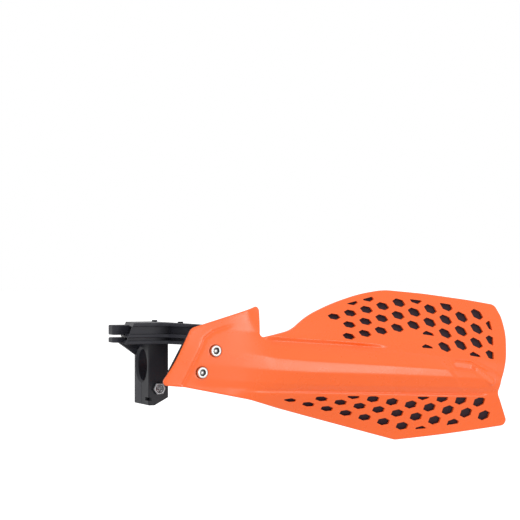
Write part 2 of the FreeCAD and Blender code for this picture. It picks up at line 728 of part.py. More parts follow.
export("shield", make_shield())
export("upper_vent_liner", make_liner(UPPER_LINER_OUTLINE))
export("lower_vent_liner", make_liner(LOWER_LINER_OUTLINE))
export("mounting_arm", make_arm())
export("clamp_cap", make_cap())
for place, bolt_z in BOLTS:
    export(place + "_clamp_bolt", make_clamp_bolt(bolt_z))
    export(place + "_clamp_nut", shifted(make_nut(NUT_HEIGHT + 1 - clamp_depth), 0, bolt_z))
for place, (screw_x, screw_z) in SCREWS:
    export(place + "_shield_screw", onto_plate(shifted(make_shield_screw(), plate_x(screw_x), screw_z)))
    export(place + "_shield_nut", onto_plate(shifted(make_nut(-pad_back), plate_x(screw_x), screw_z)))
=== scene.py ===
import math
import bpy
import numpy as np
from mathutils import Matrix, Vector
from mathutils.geometry import delaunay_2d_cdt


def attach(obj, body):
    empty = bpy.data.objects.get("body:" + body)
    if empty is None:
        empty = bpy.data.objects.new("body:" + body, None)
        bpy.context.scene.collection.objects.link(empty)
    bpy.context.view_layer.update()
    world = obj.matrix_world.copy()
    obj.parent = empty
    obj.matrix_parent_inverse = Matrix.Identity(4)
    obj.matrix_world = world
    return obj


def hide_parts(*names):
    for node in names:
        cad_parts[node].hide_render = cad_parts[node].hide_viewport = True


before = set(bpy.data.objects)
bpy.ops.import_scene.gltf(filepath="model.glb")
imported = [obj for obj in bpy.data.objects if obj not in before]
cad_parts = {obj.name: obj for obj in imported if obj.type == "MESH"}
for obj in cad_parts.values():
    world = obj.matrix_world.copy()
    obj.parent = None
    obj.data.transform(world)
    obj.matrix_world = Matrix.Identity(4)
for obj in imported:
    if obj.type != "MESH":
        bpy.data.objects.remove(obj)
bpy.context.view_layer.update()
print("frame loaded:", len(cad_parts), "nodes")

# lengths are millimetres in the frame's axes; metres only when a mesh is written
# outline corners are x, z and the corner's radius; a crease is x, z and its slope
# spans are a start and a length, once or twice; a terrace is its line, half width and slope along x
shield = {
    "wall": 2.8, "plateForward": 62.0, "plateTurn": 8.0, "plateEnd": 46.0,
    "sweepStart": 55.0, "sweepRate": 0.00033,
    "upperCrease": (94.0, 28.0, -0.13), "lowerCrease": (73.0, -23.0, -0.0365), "creaseRound": 4.0,
    "upperLean": (36.0, 14.0), "lowerLean": (38.0, 16.0), "leanSpan": (80.0, 230.0),
    "upperWingStart": (64.0, 36.0), "lowerWingStart": (45.0, 60.0),
    "ridgeRelief": 9.0, "ridgeRise": 100.0, "ridgeEnd": (319.0, 36.0, 13.0), "ridgeEndRound": 0.14,
    "facetBreaks": (0.06, 0.16, 0.385, 0.605, 1.0), "facetSlopes": (5.05, 2.2, 0.0, -2.53),
    "facetRound": 0.014, "bandDrift": ((95.0, 0.00075), (125.0, 0.0006)),
    "bandEnd": (256.0, 33.0, 0.70), "bandStep": 0.9, "bandStepLength": 2.5,
    "bandFall": 0.05, "bandFallRound": 1.0,
    "plateRelief": 1.2, "plateReliefSpan": (-8.0, 40.0),
    "upperStep": (1.8, 2.3, 2.3, 15.0), "upperStepSpan": (80.0, 14.0, 172.0, 40.0),
    "upperStepLine": ((88.0, 25.2), (127.0, 21.9), (166.0, 18.9), (231.0, 13.3)),
    "lowerGroove": (1.1, 1.7, 1.6), "lowerGrooveSpan": (64.0, 30.0, 296.0, 12.0),
    "terraces": (
        (((270.0, -1.6), (286.0, -3.8)), 2.4, 0.0), (((290.0, -6.2), (307.0, -18.0)), 2.2, -0.02)),
    "terraceEdge": 2.6,
    "borderLine": ((8.2, -15.0), (24.8, 18.2), (27.2, 25.2), (35.4, 31.6), (60.6, 39.9)),
    "borderDepth": 0.8, "borderWidth": 1.0, "borderFade": (34.0, 24.0),
    "outline": (
        (-12.0, -15.3, 3.5), (1.5, 5.0, 120.0), (15.5, 34.8, 7.0), (80.8, 55.0, 4.0),
        (78.2, 25.4, 3.5), (110.0, 31.8, 40.0), (131.0, 44.8, 120.0), (158.0, 55.6, 260.0),
        (186.0, 63.9, 200.0), (209.5, 67.5, 60.0), (246.6, 63.9, 300.0), (291.7, 57.7, 200.0),
        (320.3, 52.9, 8.0), (326.4, 41.5, 25.0), (329.3, 25.0, 60.0), (326.8, 4.5, 80.0),
        (322.8, -11.0, 60.0), (316.0, -28.5, 10.0), (331.7, -60.0, 5.0), (262.3, -67.3, 300.0),
        (218.8, -71.3, 9.0), (99.0, -38.2, 200.0), (70.0, -29.6, 100.0), (10.0, -17.3, 20.0)),
    "lipRound": 0.8, "edgeStep": 1.6,
    "screws": ((37.0, 14.6), (24.9, -4.5)),
    "sinkRadius": 5.6, "sinkDepth": 1.0, "sinkLip": 0.25, "holeRadius": 3.3,
    "pointStep": 2.0, "fineStep": 1.2, "fineFrom": 216.0, "planSpan": (-12.0, 334.0), "wingReach": 64.0,
    "creaseReach": 6.0, "creaseStep": 0.7, "rimRoom": 0.9, "borderStep": 1.5, "borderRoom": 2.2,
}


def ease(value):  # 0 to 1 with flat ends: 3v^2 - 2v^3
    held = np.clip(value, 0.0, 1.0)
    return held * held * (3.0 - 2.0 * held)


def ramp(value, rounding):  # half of v plus the root of v^2 + r^2: zero, then v, round corner between
    return 0.5 * (value + np.sqrt(value * value + rounding * rounding))


def creaseHeight(crease, x):  # straight line through the crease's point
    return crease[1] + crease[2] * (x - crease[0])


def facetHeight(share):  # sum of straight facets, each the difference of two ramps
    breaks, slopes, rounding = shield["facetBreaks"], shield["facetSlopes"], shield["facetRound"]
    return sum(slope * (ramp(share - low, rounding) - ramp(share - high, rounding))
               for slope, low, high in zip(slopes, breaks[:-1], breaks[1:]))


def wingSlope(lean, x):  # tangent of a lean that eases from its inboard to its outboard value
    share = ease((x - shield["leanSpan"][0]) / shield["leanSpan"][1])
    return np.tan(np.radians(lean[0] + (lean[1] - lean[0]) * share))


def lineDistance(x, z, line):  # least distance to the line's segments, by clamped projection
    place = np.asarray(x) + 1j * np.asarray(z)
    ends = np.array([complex(*corner) for corner in line])
    nearest = np.full(place.shape, 1e9)
    for start, run in zip(ends[:-1], np.diff(ends)):
        share = np.clip(((place - start) * np.conj(run)).real / abs(run) ** 2, 0.0, 1.0)
        nearest = np.minimum(nearest, np.abs(place - start - share * run))
    return nearest


def ridgeShare(x, z):  # 0 at the lower crease, 1 at the upper one, less a bow that lifts the band
    upper, lower = creaseHeight(shield["upperCrease"], x), creaseHeight(shield["lowerCrease"], x)
    share = (z - lower) / (upper - lower)
    (near, nearRate), (far, farRate) = shield["bandDrift"]
    drift = nearRate * np.maximum(0.0, near - x) + farRate * np.maximum(0.0, x - far)
    held = np.clip(share, 0.0, 1.0)
    return share - 4.0 * drift * held * (1.0 - held)


def shieldForward(x, z):  # swept plate line plus faceted ridge with a slanted end, less the two wings
    upper, lower = creaseHeight(shield["upperCrease"], x), creaseHeight(shield["lowerCrease"], x)
    share = ridgeShare(x, z)
    height = facetHeight(share)
    ridgeOn = ease((x - shield["plateEnd"]) / shield["ridgeRise"])
    end, back, length = shield["ridgeEnd"]
    fall = (x - end + back * np.clip(share, 0.0, 1.0) ** 2) / length
    ridgeLeft = 1.0 - ramp(fall + 0.5, shield["ridgeEndRound"]) + ramp(fall - 0.5, shield["ridgeEndRound"])
    bandX, bandSlant, bandShare = shield["bandEnd"]
    past = x - bandX - bandSlant * (bandShare - share)
    lowered = shield["bandStep"] * ease(past / shield["bandStepLength"])
    lowered = lowered + shield["bandFall"] * ramp(past, shield["bandFallRound"])
    facets = 1.0 - ridgeOn * (1.0 - height)
    upperShare = ease((x - shield["upperWingStart"][0]) / shield["upperWingStart"][1])
    lowerShare = ease((x - shield["lowerWingStart"][0]) / shield["lowerWingStart"][1])
    sweep = shield["sweepRate"] * np.maximum(0.0, x - shield["sweepStart"]) ** 2
    forward = shield["plateForward"] + math.tan(math.radians(shield["plateTurn"])) * x - sweep
    forward = forward - shield["ridgeRelief"] * (1.0 - ridgeLeft * facets)
    forward = forward - ridgeLeft * height * lowered
    rounding = shield["creaseRound"]
    forward = forward - upperShare * wingSlope(shield["upperLean"], x) * ramp(z - upper, rounding)
    return forward - lowerShare * wingSlope(shield["lowerLean"], x) * ramp(lower - z, rounding)


def stretchShare(x, span):  # rises over the first length and falls over the last
    start, startLength, stop, stopLength = span
    return ease((x - start) / startLength) * (1.0 - ease((x - stop) / stopLength))


# depth below the outer face: border line, step under the upper wing, groove along the lower crease,
# level terraces at the ridge's end and the facets pressed into the plate
def faceDetail(x, z):
    near = lineDistance(x, z, shield["borderLine"]) / shield["borderWidth"]
    fade = 1.0 - ease((x - shield["borderFade"][0]) / shield["borderFade"][1])
    relief = fade * shield["borderDepth"] * np.exp(-near ** 2)
    above, below, half, reach = shield["upperStep"]
    rise = z - np.interp(x, *zip(*shield["upperStepLine"]))
    under = ease(0.5 - rise / (2.0 * half))
    step = (below * under - above * (1.0 - under)) / (1.0 + (rise / reach) ** 2) ** 2
    relief = relief + stretchShare(x, shield["upperStepSpan"]) * step
    depth, half, offset = shield["lowerGroove"]
    away = (z - creaseHeight(shield["lowerCrease"], x) - offset) / half
    relief = relief + stretchShare(x, shield["lowerGrooveSpan"]) * depth / (1.0 + away ** 2) ** 2
    for line, half, rate in shield["terraces"]:
        middleX, middleZ = np.mean(line, axis=0)
        level = shieldForward(middleX, middleZ) + rate * (x - middleX)
        inside = 1.0 - ease((lineDistance(x, z, line) - half) / shield["terraceEdge"])
        relief = relief + (shieldForward(x, z) - level) * inside
    first, length = shield["plateReliefSpan"]
    pressed = ease((x - first) / length) * (1.0 - ease((x - shield["plateEnd"]) / shield["ridgeRise"]))
    return relief + shield["plateRelief"] * pressed * (1.0 - facetHeight(ridgeShare(x, z)))


def shieldPoint(x, z, depth):  # face point pushed back along y by depth times the slope's secant
    step = 0.05
    along = (shieldForward(x + step, z) - shieldForward(x - step, z)) / (2 * step)
    across = (shieldForward(x, z + step) - shieldForward(x, z - step)) / (2 * step)
    face = shieldForward(x, z) - faceDetail(x, z) * (1.0 - depth / shield["wall"])
    return np.stack((x, depth * np.sqrt(1.0 + along ** 2 + across ** 2) - face, z), axis=-1)


def roundedLoop(corners, radii, arcCount):  # corner arcs: start + r*i*h*(1 - exp(i*turn)), h the heading
    place = np.array([complex(*corner) for corner in corners])
    back, ahead = np.roll(place, 1) - place, np.roll(place, -1) - place
    turn = np.angle(-(ahead / np.abs(ahead)) / (back / np.abs(back)))
    bend = np.maximum(np.abs(np.tan(turn / 2)), 1e-6)
    reach = np.minimum(np.asarray(radii) * bend, 0.47 * np.minimum(np.abs(back), np.abs(ahead)))
    heading = -back / np.abs(back)
    start = place - heading * reach
    sweep = 1.0 - np.exp(1j * turn[:, None] * np.linspace(0.0, 1.0, arcCount))
    return (start[:, None] + (reach / bend * heading * 1j * np.sign(turn))[:, None] * sweep).ravel()


def filledLoop(loop, step):  # the loop's own points plus even points on runs longer than a step
    ring = np.append(loop, loop[0])
    length = np.concatenate(([0.0], np.cumsum(np.abs(np.diff(ring)))))
    even = np.linspace(0.0, length[-1], int(length[-1] / step) + 1)[:-1]
    far = np.abs(even[:, None] - length[None, :]).min(axis=1) > 0.5 * step
    marks = np.sort(np.concatenate((length[:-1], even[far])))
    marks = marks[np.concatenate(([True], np.diff(marks) > 0.02))]
    return np.interp(marks, length, ring.real) + 1j * np.interp(marks, length, ring.imag)


def signedArea(loop):  # half the sum of cross products
    return 0.5 * np.sum((np.conj(loop) * np.roll(loop, -1)).imag)


def loopNormals(loop):  # right-hand side of the mean heading, lengthened at corners
    ahead = np.roll(loop, -1) - loop
    ahead = ahead / np.abs(ahead)
    mean = ahead + np.roll(ahead, 1)
    return -1j * mean / np.abs(mean) / np.maximum(np.abs(mean) / 2, 0.7)


def oddCrossings(place, starts, stops):  # parity of the edges met by a ray that runs along +x
    above, below = starts.imag > place.imag[:, None], stops.imag > place.imag[:, None]
    rise = np.where(stops.imag == starts.imag, 1.0, stops.imag - starts.imag)
    meet = starts.real + (place.imag[:, None] - starts.imag) * (stops.real - starts.real) / rise
    return ((above != below) & (meet > place.real[:, None])).sum(axis=1) % 2 == 1


def clipLoop(loop, convex):  # keeps what lies left of every edge of the convex loop
    for start, stop in zip(convex, np.roll(convex, -1)):
        if len(loop) == 0:
            break
        side = (np.conj(stop - start) * (loop - start)).imag
        nextLoop, nextSide = np.roll(loop, -1), np.roll(side, -1)
        cross = loop + (nextLoop - loop) * (side / np.where(side == nextSide, 1.0, side - nextSide))
        pairs = np.stack((loop, cross), axis=1)
        keep = np.stack((side >= 0, (side >= 0) != (nextSide >= 0)), axis=1)
        loop = pairs[keep]
    return loop


# a shape is the filled share of a cell, the height at both ends of heightSpan and the lean
# a lattice is its origin, its two steps and the fan that widens them cell by cell
vents = {
    "upperShape": (0.62, 3.8, 10.6, -0.22), "lowerShape": (0.59, 3.4, 9.8, 0.18),
    "heightSpan": (105.0, 285.0), "leastShare": 0.16, "leastEdge": 0.05, "columns": 7, "rows": 4,
    "cornerRound": 0.3, "lipRound": 0.25, "edgeStep": 1.8,
    "upperLattice": ((216.3, 32.6), (16.74, 2.30), (-2.89, -11.42), (0.16, -0.36)),
    "lowerLattice": ((216.0, -45.7), (18.99, -3.78), (-11.77, -7.83), (-0.15, -0.72)),
    "upperField": (
        (146.0, 44.0), (172.0, 55.2), (198.0, 61.4), (216.0, 60.8), (262.0, 55.3), (300.0, 49.2),
        (311.5, 46.5), (315.0, 27.0), (312.5, 2.2), (258.0, 10.8), (251.0, 13.2), (234.0, 14.6),
        (234.0, 20.0), (254.0, 20.6), (255.0, 24.4), (234.0, 27.4), (158.0, 20.3), (160.3, 38.3),
        (147.0, 39.0)),
    "lowerField": (
        (98.0, -31.0), (118.0, -28.6), (164.0, -28.4), (236.0, -30.7), (306.0, -33.4), (312.0, -52.0),
        (308.0, -55.4), (290.0, -55.8), (246.0, -61.0), (217.0, -62.8), (211.0, -62.6), (120.0, -37.0)),
}


def ventLoops(lattice, field, shape):  # fanned lattice of flattened leaning hexagons, each cut to the field
    origin, stepA, stepB, fan = (complex(*pair) for pair in lattice)
    fill, heightFrom, heightTo, lean = shape
    border = np.array([complex(*corner) for corner in field])
    border = border if signedArea(border) > 0 else border[::-1]
    loops = []
    for column in range(-vents["columns"], vents["columns"] + 1):
        for row in range(-vents["rows"], vents["rows"] + 1):
            middle = origin + column * stepA + row * stepB + column * row * fan
            a, b = stepA + row * fan, stepB + column * fan
            spokes = fill / 3 * np.array([2 * a + b, a + 2 * b, b - a, -2 * a - b, -a - 2 * b, a - b])
            height = np.interp(middle.real, vents["heightSpan"], (heightFrom, heightTo))
            rise = spokes.imag * height / (2 * spokes.imag.max())
            rise = rise + lean * (height / heightTo) ** 2 * spokes.real
            hexagon = middle + spokes.real + 1j * rise * height / (2 * rise.max())
            hexagon = hexagon if signedArea(hexagon) > 0 else hexagon[::-1]
            cut = clipLoop(border, hexagon)
            if len(cut) > 2 and signedArea(cut) > vents["leastShare"] * signedArea(hexagon):
                cut = cut[np.abs(cut - np.roll(cut, 1)) > vents["leastEdge"]]
                loops.append(cut)
    return loops


# welds equal points, drops unused ones and faces that fold to a line, and binds the piece to the body
def layMesh(name, points, faceSets, material, standsFor=()):
    corners = np.concatenate([faces.ravel() for faces in faceSets])
    kept, index = np.unique(np.round(points[corners], 5), axis=0, return_inverse=True)
    index = index.ravel()
    cuts = np.cumsum([faces.size for faces in faceSets])[:-1]
    parts = zip(np.split(index, cuts), faceSets)
    rows = [row for part, faces in parts for row in part.reshape(faces.shape).tolist()]
    rows = [row for row in rows if len(set(row)) == len(row)] + [
        list(dict.fromkeys(row)) for row in rows if len(set(row)) == 3 and len(row) == 4]
    mesh = bpy.data.meshes.new(name)
    mesh.from_pydata((kept / 1000.0).tolist(), [], rows)
    mesh.polygons.foreach_set("use_smooth", np.ones(len(mesh.polygons), dtype=bool))
    mesh.update()
    piece = bpy.data.objects.new(name, mesh)
    bpy.context.scene.collection.objects.link(piece)
    mesh.materials.append(material)
    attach(piece, "root")
    if standsFor:
        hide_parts(*standsFor)
    return piece


def ringFaces(first, rings, count):  # quads between rings that are stored one after the other
    ring, along = np.meshgrid(np.arange(rings - 1), np.arange(count), indexing="ij")
    here, beside = first + ring * count + along, first + ring * count + (along + 1) % count
    return np.stack((here, here + count, beside + count, beside), axis=-1).reshape(-1, 4)


def addNode(tree, kind, inputs=None, **settings):  # makes a node; inputs are constants or sockets to link
    made = tree.nodes.new(kind)
    for key, value in settings.items():
        setattr(made, key, value)
    for key, value in (inputs or {}).items():
        if isinstance(value, bpy.types.NodeSocket):
            tree.links.new(value, made.inputs[key])
        else:
            made.inputs[key].default_value = value
    return made


def newMaterial(name):  # empty tree with a principled surface
    material = bpy.data.materials.new(name)
    material.use_nodes = True
    tree = material.node_tree
    tree.nodes.clear()
    surface = addNode(tree, "ShaderNodeBsdfPrincipled")
    output = addNode(tree, "ShaderNodeOutputMaterial")
    tree.links.new(surface.outputs["BSDF"], output.inputs["Surface"])
    return material, tree, surface


def linear(red, green, blue):  # screen colour to linear light
    share = np.array((red, green, blue)) / 255.0
    light = np.where(share <= 0.04045, share / 12.92, ((share + 0.055) / 1.055) ** 2.4)
    return (*light.tolist(), 1.0)


mould = {
    "grainDetail": 3.0, "cloudScale": 23.0, "cloudDetail": 4.0, "cloudRough": 0.6, "cloudHeight": 0.35,
    "cloudSpan": (0.3, 0.7), "bumpDistance": 0.0002,
}


def makeMouldGroup():  # height: fine grain plus broad waves; tone: cloudy 0 to 1
    group = bpy.data.node_groups.new("mouldSkin", "ShaderNodeTree")
    group.interface.new_socket("Scale", in_out="INPUT", socket_type="NodeSocketFloat")
    group.interface.new_socket("Height", in_out="OUTPUT", socket_type="NodeSocketFloat")
    group.interface.new_socket("Tone", in_out="OUTPUT", socket_type="NodeSocketFloat")
    inward, outward = addNode(group, "NodeGroupInput"), addNode(group, "NodeGroupOutput")
    place = addNode(group, "ShaderNodeTexCoord").outputs["Object"]
    grain = addNode(group, "ShaderNodeTexNoise", {
        "Vector": place, "Scale": inward.outputs["Scale"], "Detail": mould["grainDetail"]})
    cloud = addNode(group, "ShaderNodeTexNoise", {
        "Vector": place, "Scale": mould["cloudScale"], "Detail": mould["cloudDetail"],
        "Roughness": mould["cloudRough"]})
    mixed = addNode(group, "ShaderNodeMath", {
        0: cloud.outputs["Fac"], 1: mould["cloudHeight"], 2: grain.outputs["Fac"]}, operation="MULTIPLY_ADD")
    group.links.new(mixed.outputs[0], outward.inputs["Height"])
    group.links.new(cloud.outputs["Fac"], outward.inputs["Tone"])
    return group


mouldSkin = makeMouldGroup()


def mouldedPlastic(name, look):  # two tones mixed by cloud, grain as bump, roughness shifted by cloud
    material, tree, surface = newMaterial(name)
    skin = addNode(tree, "ShaderNodeGroup", node_tree=mouldSkin)
    skin.inputs["Scale"].default_value = look["grainScale"]
    tone = addNode(tree, "ShaderNodeMix", {"Factor": skin.outputs["Tone"]}, data_type="RGBA")
    tone.inputs["A"].default_value = linear(*look["dark"])
    tone.inputs["B"].default_value = linear(*look["light"])
    rough = addNode(tree, "ShaderNodeMapRange", {
        "Value": skin.outputs["Tone"], "From Min": mould["cloudSpan"][0], "From Max": mould["cloudSpan"][1],
        "To Min": look["rough"][0], "To Max": look["rough"][1]})
    bump = addNode(tree, "ShaderNodeBump", {
        "Height": skin.outputs["Height"], "Strength": look["grain"], "Distance": mould["bumpDistance"]})
    tree.links.new(tone.outputs["Result"], surface.inputs["Base Color"])
    tree.links.new(rough.outputs["Result"], surface.inputs["Roughness"])
    tree.links.new(bump.outputs["Normal"], surface.inputs["Normal"])
    surface.inputs["Specular IOR Level"].default_value = look["shine"]
    return material


def metalWithPaintedRecessShade(name, look):  # steel with cloudy tone; the stored strength of a recess mixes in the dark recess colour as painted shade
    material = mouldedPlastic(name, look)
    tree = material.node_tree
    surface = next(node for node in tree.nodes if node.type == "BSDF_PRINCIPLED")
    tone = surface.inputs["Base Color"].links[0].from_socket
    # painted shade: the stored 'deep' value darkens the socket and the dish where light would be shaded
    deep = addNode(tree, "ShaderNodeAttribute", attribute_name="deep").outputs["Fac"]
    shade = addNode(tree, "ShaderNodeMix", {
        "Factor": deep, "A": tone, "B": linear(*look["recess"])}, data_type="RGBA")
    tree.links.new(shade.outputs["Result"], surface.inputs["Base Color"])
    surface.inputs["Metallic"].default_value = 1.0
    return material


looks = {
    "shield": {"dark": (255, 103, 32), "light": (255, 108, 36), "grainScale": 1500.0, "grain": 0.05,
               "rough": (0.24, 0.30), "shine": 0.6},
    "liner": {"dark": (38, 28, 36), "light": (52, 38, 48), "grainScale": 900.0, "grain": 0.3,
              "rough": (0.6, 0.75), "shine": 0.3},
    "bracket": {"dark": (27, 27, 35), "light": (39, 39, 48), "grainScale": 1200.0, "grain": 0.25,
                "rough": (0.42, 0.55), "shine": 0.35},
    # the cap is the bracket's black plastic made darker: painted shade on the clamp front
    "cap": {"dark": (19, 19, 25), "light": (29, 29, 37), "grainScale": 1200.0, "grain": 0.25,
            "rough": (0.42, 0.55), "shine": 0.35},
    # the recess colours below are painted shade for the screw sockets, the bolt dishes and their crosses
    "bolt": {"dark": (120, 120, 124), "light": (168, 168, 170), "recess": (36, 35, 38),
             "grainScale": 1800.0, "grain": 0.25, "rough": (0.28, 0.42), "shine": 0.5},
    "steel": {"dark": (205, 205, 205), "light": (232, 230, 226), "recess": (26, 22, 24),
              "grainScale": 2200.0, "grain": 0.1, "rough": (0.22, 0.32), "shine": 0.5},
}
orangeMould = mouldedPlastic("orangeMould", looks["shield"])
linerMould = mouldedPlastic("linerMould", looks["liner"])
blackMould = mouldedPlastic("blackMould", looks["bracket"])
# darker copy of the bracket plastic, painted shade
capPaintedShadeMould = mouldedPlastic("capPaintedShadeMould", looks["cap"])
steel = metalWithPaintedRecessShade("steel", looks["steel"])
boltSteel = metalWithPaintedRecessShade("boltSteel", looks["bolt"])
print("materials made")


def shieldOpenings():  # outer edge, vents, screw sinks: each a loop, its lip's radius, and true for a sink
    corners = [corner[:2] for corner in shield["outline"]]
    outline = roundedLoop(corners, [corner[2] for corner in shield["outline"]], 9)
    outline = filledLoop(outline if signedArea(outline) > 0 else outline[::-1], shield["edgeStep"])
    openings = [(outline, shield["lipRound"], False)]
    for wing in ("upper", "lower"):
        for cut in ventLoops(vents[wing + "Lattice"], vents[wing + "Field"], vents[wing + "Shape"]):
            loop = roundedLoop(np.stack((cut.real, cut.imag), axis=1), vents["cornerRound"], 4)
            openings.append((filledLoop(loop, vents["edgeStep"])[::-1], vents["lipRound"], False))
    turns = np.exp(-2j * np.pi * np.arange(40) / 40)
    for x, z in shield["screws"]:
        openings.append((x + 1j * z + shield["sinkRadius"] * turns, shield["sinkLip"], True))
    return openings


def lipRings(loop, lip, sunk):  # quarter rounds at both faces, or one round, a flat sink and a hole
    wall, quarter = shield["wall"], np.linspace(0.0, np.pi / 2, 5)
    out, deep = lip * (np.sin(quarter) - 1.0), lip * (1.0 - np.cos(quarter))
    if sunk:
        floor = shield["sinkRadius"] - shield["holeRadius"]
        out = np.concatenate((out, [0.0, floor, floor, 0.0, -lip]))
        deep = np.concatenate((deep, [shield["sinkDepth"]] * 2, [wall] * 3))
    else:
        out, deep = np.concatenate((out, out[::-1])), np.concatenate((deep, wall - deep[::-1]))
    rings = loop[None, :] + out[:, None] * loopNormals(loop)[None, :]
    return rings, np.broadcast_to(deep[:, None], rings.shape)


def planPoints():  # rows between and beyond the creases, closer at facet edges and beside the border line
    first, last = shield["planSpan"]
    x = np.concatenate((np.arange(first, shield["fineFrom"], shield["pointStep"]),
                        np.arange(shield["fineFrom"], last, shield["fineStep"])))
    breaks = np.array(shield["facetBreaks"])
    between = np.sort(np.concatenate((
        np.linspace(0.012, 0.12, 10), np.linspace(0.18, 0.98, 34), breaks, breaks - 0.015, breaks + 0.015)))
    beyond = np.concatenate((np.arange(0.0, shield["creaseReach"], shield["creaseStep"]),
                             np.arange(shield["creaseReach"], shield["wingReach"], shield["pointStep"])))
    upper, lower = creaseHeight(shield["upperCrease"], x), creaseHeight(shield["lowerCrease"], x)
    z = np.concatenate((lower[:, None] - beyond[::-1], lower[:, None] + (upper - lower)[:, None] * between,
                        upper[:, None] + beyond), axis=1)
    inner = (x[:, None] + 1j * z).ravel()
    line = np.array([complex(*corner) for corner in shield["borderLine"]])
    marks = filledLoop(np.concatenate((line, line[-2:0:-1])), shield["borderStep"])
    across = 1j * np.array((-1.6, -0.8, 0.0, 0.8, 1.6)) * np.exp(1j * np.angle(line[1] - line[0]))
    beside = (marks[:, None] + across).ravel()
    away = lineDistance(inner.real, inner.imag, shield["borderLine"]) > shield["borderRoom"]
    return np.concatenate((inner[away], beside[: len(beside) // 2]))


def makeShield():  # one triangulated plan, raised to the front and the back face, joined by lip rings
    plan, edges, points, faceSets = [], [], [], []
    planCount, pointCount = 0, 0
    for loop, lip, sunk in shieldOpenings():
        rings, depths = lipRings(loop, lip, sunk)
        count = len(loop)
        points.append(shieldPoint(rings.real.ravel(), rings.imag.ravel(), depths.ravel()))
        faceSets.append(ringFaces(pointCount, len(rings), count))
        pointCount += rings.size
        plan.append(rings[0])
        ring = planCount + np.arange(count)
        edges.append(np.stack((ring, planCount + (np.arange(count) + 1) % count), axis=1))
        planCount += count
    rim, inner = np.concatenate(plan), planPoints()
    clear = [np.abs(part[:, None] - rim[None, :]).min(axis=1) > shield["rimRoom"]
             for part in np.array_split(inner, 24)]
    flat = np.concatenate((rim, inner[np.concatenate(clear)]))
    places = [Vector((p.real, p.imag)) for p in flat]
    made = delaunay_2d_cdt(places, np.concatenate(edges).tolist(), [], 1, 1e-6)
    flat = np.array([complex(*corner) for corner in made[0]])
    triangles = np.array(made[2])
    nextRim = np.concatenate([np.roll(loop, -1) for loop in plan])
    middles = np.array_split(flat[triangles].mean(axis=1), 40)
    triangles = triangles[np.concatenate([oddCrossings(part, rim, nextRim) for part in middles])]
    first, second, third = flat[triangles].T
    side = (np.conj(second - first) * (third - first)).imag
    triangles = np.where(side[:, None] > 0, triangles, triangles[:, ::-1])
    for depth, turned in ((0.0, triangles), (shield["wall"], triangles[:, ::-1])):
        points.append(shieldPoint(flat.real, flat.imag, np.full(flat.shape, depth)))
        faceSets.append(turned + pointCount)
        pointCount += len(flat)
    return layMesh("shieldPanel", np.concatenate(points), faceSets, orangeMould, ("shield",))


screw = {
    "headRadius": 5.0, "headTop": 2.0, "seat": -1.0, "edgeRound": 0.7, "seatRound": 0.15,
    "socketRadius": 2.5, "socketDepth": 1.9, "socketChamfer": 0.35, "drillCone": 0.9, "socketTurn": 12.0,
    # the strength of the painted shade in the socket stands in this row
    "shankRadius": 3.0, "endChamfer": 0.6, "end": -14.3, "recessShadeStrength": 0.97, "steps": 144,
}
bolt = {
    "flat": 5.0, "headHeight": 4.2, "headChamfer": (0.5, 0.35), "dishRadius": 3.7, "dishDepth": 1.1,
    "dishSlope": 0.5, "dishRings": (2.2, 1.4, 0.7), "rimRound": 0.35, "slotHalf": 0.75, "slotReach": 2.9,
    "slotDepth": 0.9, "slotSides": (0.25, 0.3), "shankRadius": 3.0, "endChamfer": 0.6, "end": -39.2,
    # the strength of the painted shade in the dish stands in this row
    "turn": 35.0, "recessShadeStrength": 0.4, "steps": 144,
}
clamp = {"depth": 20.0, "upperBolt": 26.0, "lowerBolt": -20.6}


def sixSided(angle):  # one over the cosine of the angle from the nearest flat's middle
    return 1.0 / np.cos((angle + np.pi / 6) % (np.pi / 3) - np.pi / 6)


def softProfile(corners, arcCount=4):  # open profile of (depth, radius, share of hexagon, rounding) with arcs
    rows = np.array(corners, dtype=float)
    place = rows[1:-1, 0] + 1j * rows[1:-1, 1]
    back = rows[:-2, 0] + 1j * rows[:-2, 1] - place
    ahead = rows[2:, 0] + 1j * rows[2:, 1] - place
    reach = np.minimum(rows[1:-1, 3], 0.45 * np.minimum(np.abs(back), np.abs(ahead)))
    t = np.linspace(0.0, 1.0, arcCount)[None, :]
    start, stop = place + back / np.abs(back) * reach, place + ahead / np.abs(ahead) * reach
    arc = start[:, None] * (1 - t) ** 2 + 2 * place[:, None] * t * (1 - t) + stop[:, None] * t ** 2
    ends = rows[[0, -1], 0] + 1j * rows[[0, -1], 1]
    path = np.concatenate((ends[:1], arc.ravel(), ends[1:]))
    share = np.concatenate((rows[:1, 2], np.repeat(rows[1:-1, 2], arcCount), rows[-1:, 2]))
    return path.real, path.imag, share


def turnedSurface(profile, steps, turn):  # profile swung round the axis, its radius a hexagon by share
    depth, radius, share = profile
    angle = np.arange(steps) * 2 * np.pi / steps
    reach = radius[:, None] * (1.0 + share[:, None] * (sixSided(angle)[None, :] - 1.0))
    along = np.broadcast_to(depth[:, None], reach.shape)
    around = angle[None, :] + math.radians(turn)
    return np.stack((reach * np.cos(around), along, reach * np.sin(around)), axis=-1)


def placed(surface, x, forward, z, turnDegrees):  # axis out of the face: turned about Z, then moved
    lean = math.radians(turnDegrees)
    side, out = surface[..., 0], surface[..., 1]
    return np.stack((x + side * math.cos(lean) - out * math.sin(lean),
                     -forward - side * math.sin(lean) - out * math.cos(lean), z + surface[..., 2]), axis=-1)


